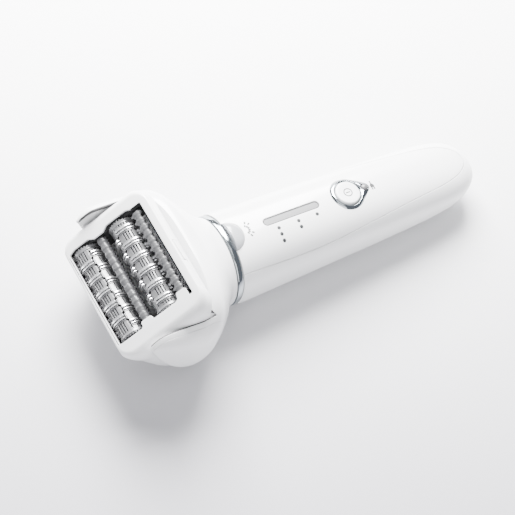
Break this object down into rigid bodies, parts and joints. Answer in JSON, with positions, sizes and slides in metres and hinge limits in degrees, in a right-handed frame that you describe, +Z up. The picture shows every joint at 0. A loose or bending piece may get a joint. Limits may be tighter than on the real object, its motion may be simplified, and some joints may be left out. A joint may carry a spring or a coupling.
{
  "type": "epilator",
  "caption": "Cordless hand-held epilator: oval handle with a power button and chrome neck ring, and a pivoting head with two tweezer drums between ear covers.",
  "frame": {"origin": "centre of the bounding box on the surface that the handle lies on", "axes": "+Y from the head towards the tail of the handle, +Z up, +X to the right seen from the head"},
  "size_m": [0.068, 0.169, 0.0475],
  "materials": {
    "white": "satin white moulded ABS",
    "chrome": "bright chrome plating",
    "clear": "frosted clear polycarbonate",
    "grey": "mid grey moulded plastic",
    "blade": "polished stainless steel",
    "steel": "plain steel",
    "brass": "turned brass",
    "inner": "natural acetal and ABS",
    "rubber": "black rubber",
    "board": "glass-fibre circuit board",
    "cell": "shrink-wrapped lithium cell"
  },
  "bodies": {
    "handle": {"back_shell": "white", "front_panel": "white", "button_bezel": "chrome", "speed_window": "grey", "charge_lamp_lens": "clear", "light_lens": "clear", "neck_ring": "chrome", "neck_bulkhead": "inner", "shaft_seal": "rubber", "neck_seal": "rubber", "drive_motor": "steel", "motor_screw_left": "steel", "motor_screw_right": "steel", "battery_chassis": "inner", "battery_cell": "cell", "circuit_board": "board", "light_led": "clear", "tact_switch": "steel", "charging_inlet": "inner", "inlet_pin_left": "brass", "inlet_pin_right": "brass"},
    "power_key": {"power_button": "white"},
    "motor_rotor": {"drive_dog": "brass"},
    "neck": {"neck_housing": "white", "ear_cap_left": "white", "ear_cap_right": "white", "pivot_pin_left": "steel", "pivot_pin_right": "steel", "gearbox_plate": "inner", "gear_arm": "steel", "release_spring": "steel"},
    "release_key": {"release_button": "white"},
    "input_drive": {"input_pinion": "brass"},
    "cross_drive": {"cross_shaft": "steel", "crown_gear": "brass", "transfer_pinion": "brass"},
    "swing_drive": {"swing_gear": "brass"},
    "head": {"head_frame": "white", "frame_latch": "grey", "drum_carrier": "inner", "middle_comb": "grey", "front_comb": "grey", "rear_guard": "grey"},
    "pivot_drive": {"drive_cluster": "inner"},
    "idler": {"idler_gear": "inner"},
    "front_drum": {"drum_core_front": "grey", "fixed_tweezers_front": "blade", "drum_axle_front": "steel", "drum_gear_front": "inner"},
    "front_pinch": {"moving_tweezers_front": "blade"},
    "rear_drum": {"drum_core_rear": "grey", "fixed_tweezers_rear": "blade", "drum_axle_rear": "steel", "drum_gear_rear": "inner"},
    "rear_pinch": {"moving_tweezers_rear": "blade"}
  },
  "joints": [
    {"name": "power_press", "type": "slide", "parent": "handle", "child": "power_key", "axis": [0, -0.1219, -0.9925], "range_m": [0, 0.0006], "stiffness_N_per_m": 600, "springref_m": -0.0008},
    {"name": "motor_spin", "type": "hinge", "parent": "handle", "child": "motor_rotor", "pos_m": [0, -0.03219, 0.01851], "axis": [0, 0.9925, -0.1219], "continuous": true},
    {"name": "head_removal", "type": "slide", "parent": "handle", "child": "neck", "axis": [0, -0.9925, 0.1219], "range_m": [0, 0.03]},
    {"name": "release_press", "type": "slide", "parent": "neck", "child": "release_key", "axis": [0, 0.1219, 0.9925], "range_m": [0, 0.0008], "stiffness_N_per_m": 500, "springref_m": -0.0008},
    {"name": "head_pivot", "type": "hinge", "parent": "neck", "child": "head", "pos_m": [0, -0.064, 0.02534], "axis": [1, 0, 0], "range_deg": [0, 90]},
    {"name": "input_spin", "type": "hinge", "parent": "neck", "child": "input_drive", "pos_m": [0, -0.03219, 0.01851], "axis": [0, 0.9925, -0.1219], "continuous": true},
    {"name": "cross_spin", "type": "hinge", "parent": "neck", "child": "cross_drive", "pos_m": [0, -0.04471, 0.02005], "axis": [1, 0, 0], "continuous": true},
    {"name": "swing_spin", "type": "hinge", "parent": "neck", "child": "swing_drive", "pos_m": [0, -0.05108, 0.02179], "axis": [1, 0, 0], "continuous": true},
    {"name": "pivot_gear_spin", "type": "hinge", "parent": "head", "child": "pivot_drive", "pos_m": [0, -0.064, 0.02534], "axis": [1, 0, 0], "continuous": true},
    {"name": "idler_spin", "type": "hinge", "parent": "head", "child": "idler", "pos_m": [0, -0.07025, 0.02453], "axis": [1, 0, 0], "continuous": true},
    {"name": "front_drum_spin", "type": "hinge", "parent": "head", "child": "front_drum", "pos_m": [0, -0.06277, 0.03365], "axis": [1, 0, 0], "continuous": true},
    {"name": "front_pinch_slide", "type": "slide", "parent": "front_drum", "child": "front_pinch", "axis": [-1, 0, 0], "range_m": [0, 0.0004], "stiffness_N_per_m": 400, "springref_m": -0.0008},
    {"name": "rear_drum_spin", "type": "hinge", "parent": "head", "child": "rear_drum", "pos_m": [0, -0.07649, 0.02371], "axis": [1, 0, 0], "continuous": true},
    {"name": "rear_pinch_slide", "type": "slide", "parent": "rear_drum", "child": "rear_pinch", "axis": [-1, 0, 0], "range_m": [0, 0.0004], "stiffness_N_per_m": 400, "springref_m": -0.0008}
  ],
  "couplings": [
    {"joint": "motor_spin", "follows": "front_drum_spin", "ratio": 5.1429},
    {"joint": "input_spin", "follows": "front_drum_spin", "ratio": 5.1429},
    {"joint": "cross_spin", "follows": "front_drum_spin", "ratio": -3.4286},
    {"joint": "swing_spin", "follows": "front_drum_spin", "ratio": 2.5263},
    {"joint": "pivot_gear_spin", "follows": "front_drum_spin", "ratio": -1},
    {"joint": "idler_spin", "follows": "front_drum_spin", "ratio": 2},
    {"joint": "rear_drum_spin", "follows": "front_drum_spin", "ratio": -1}
  ]
}
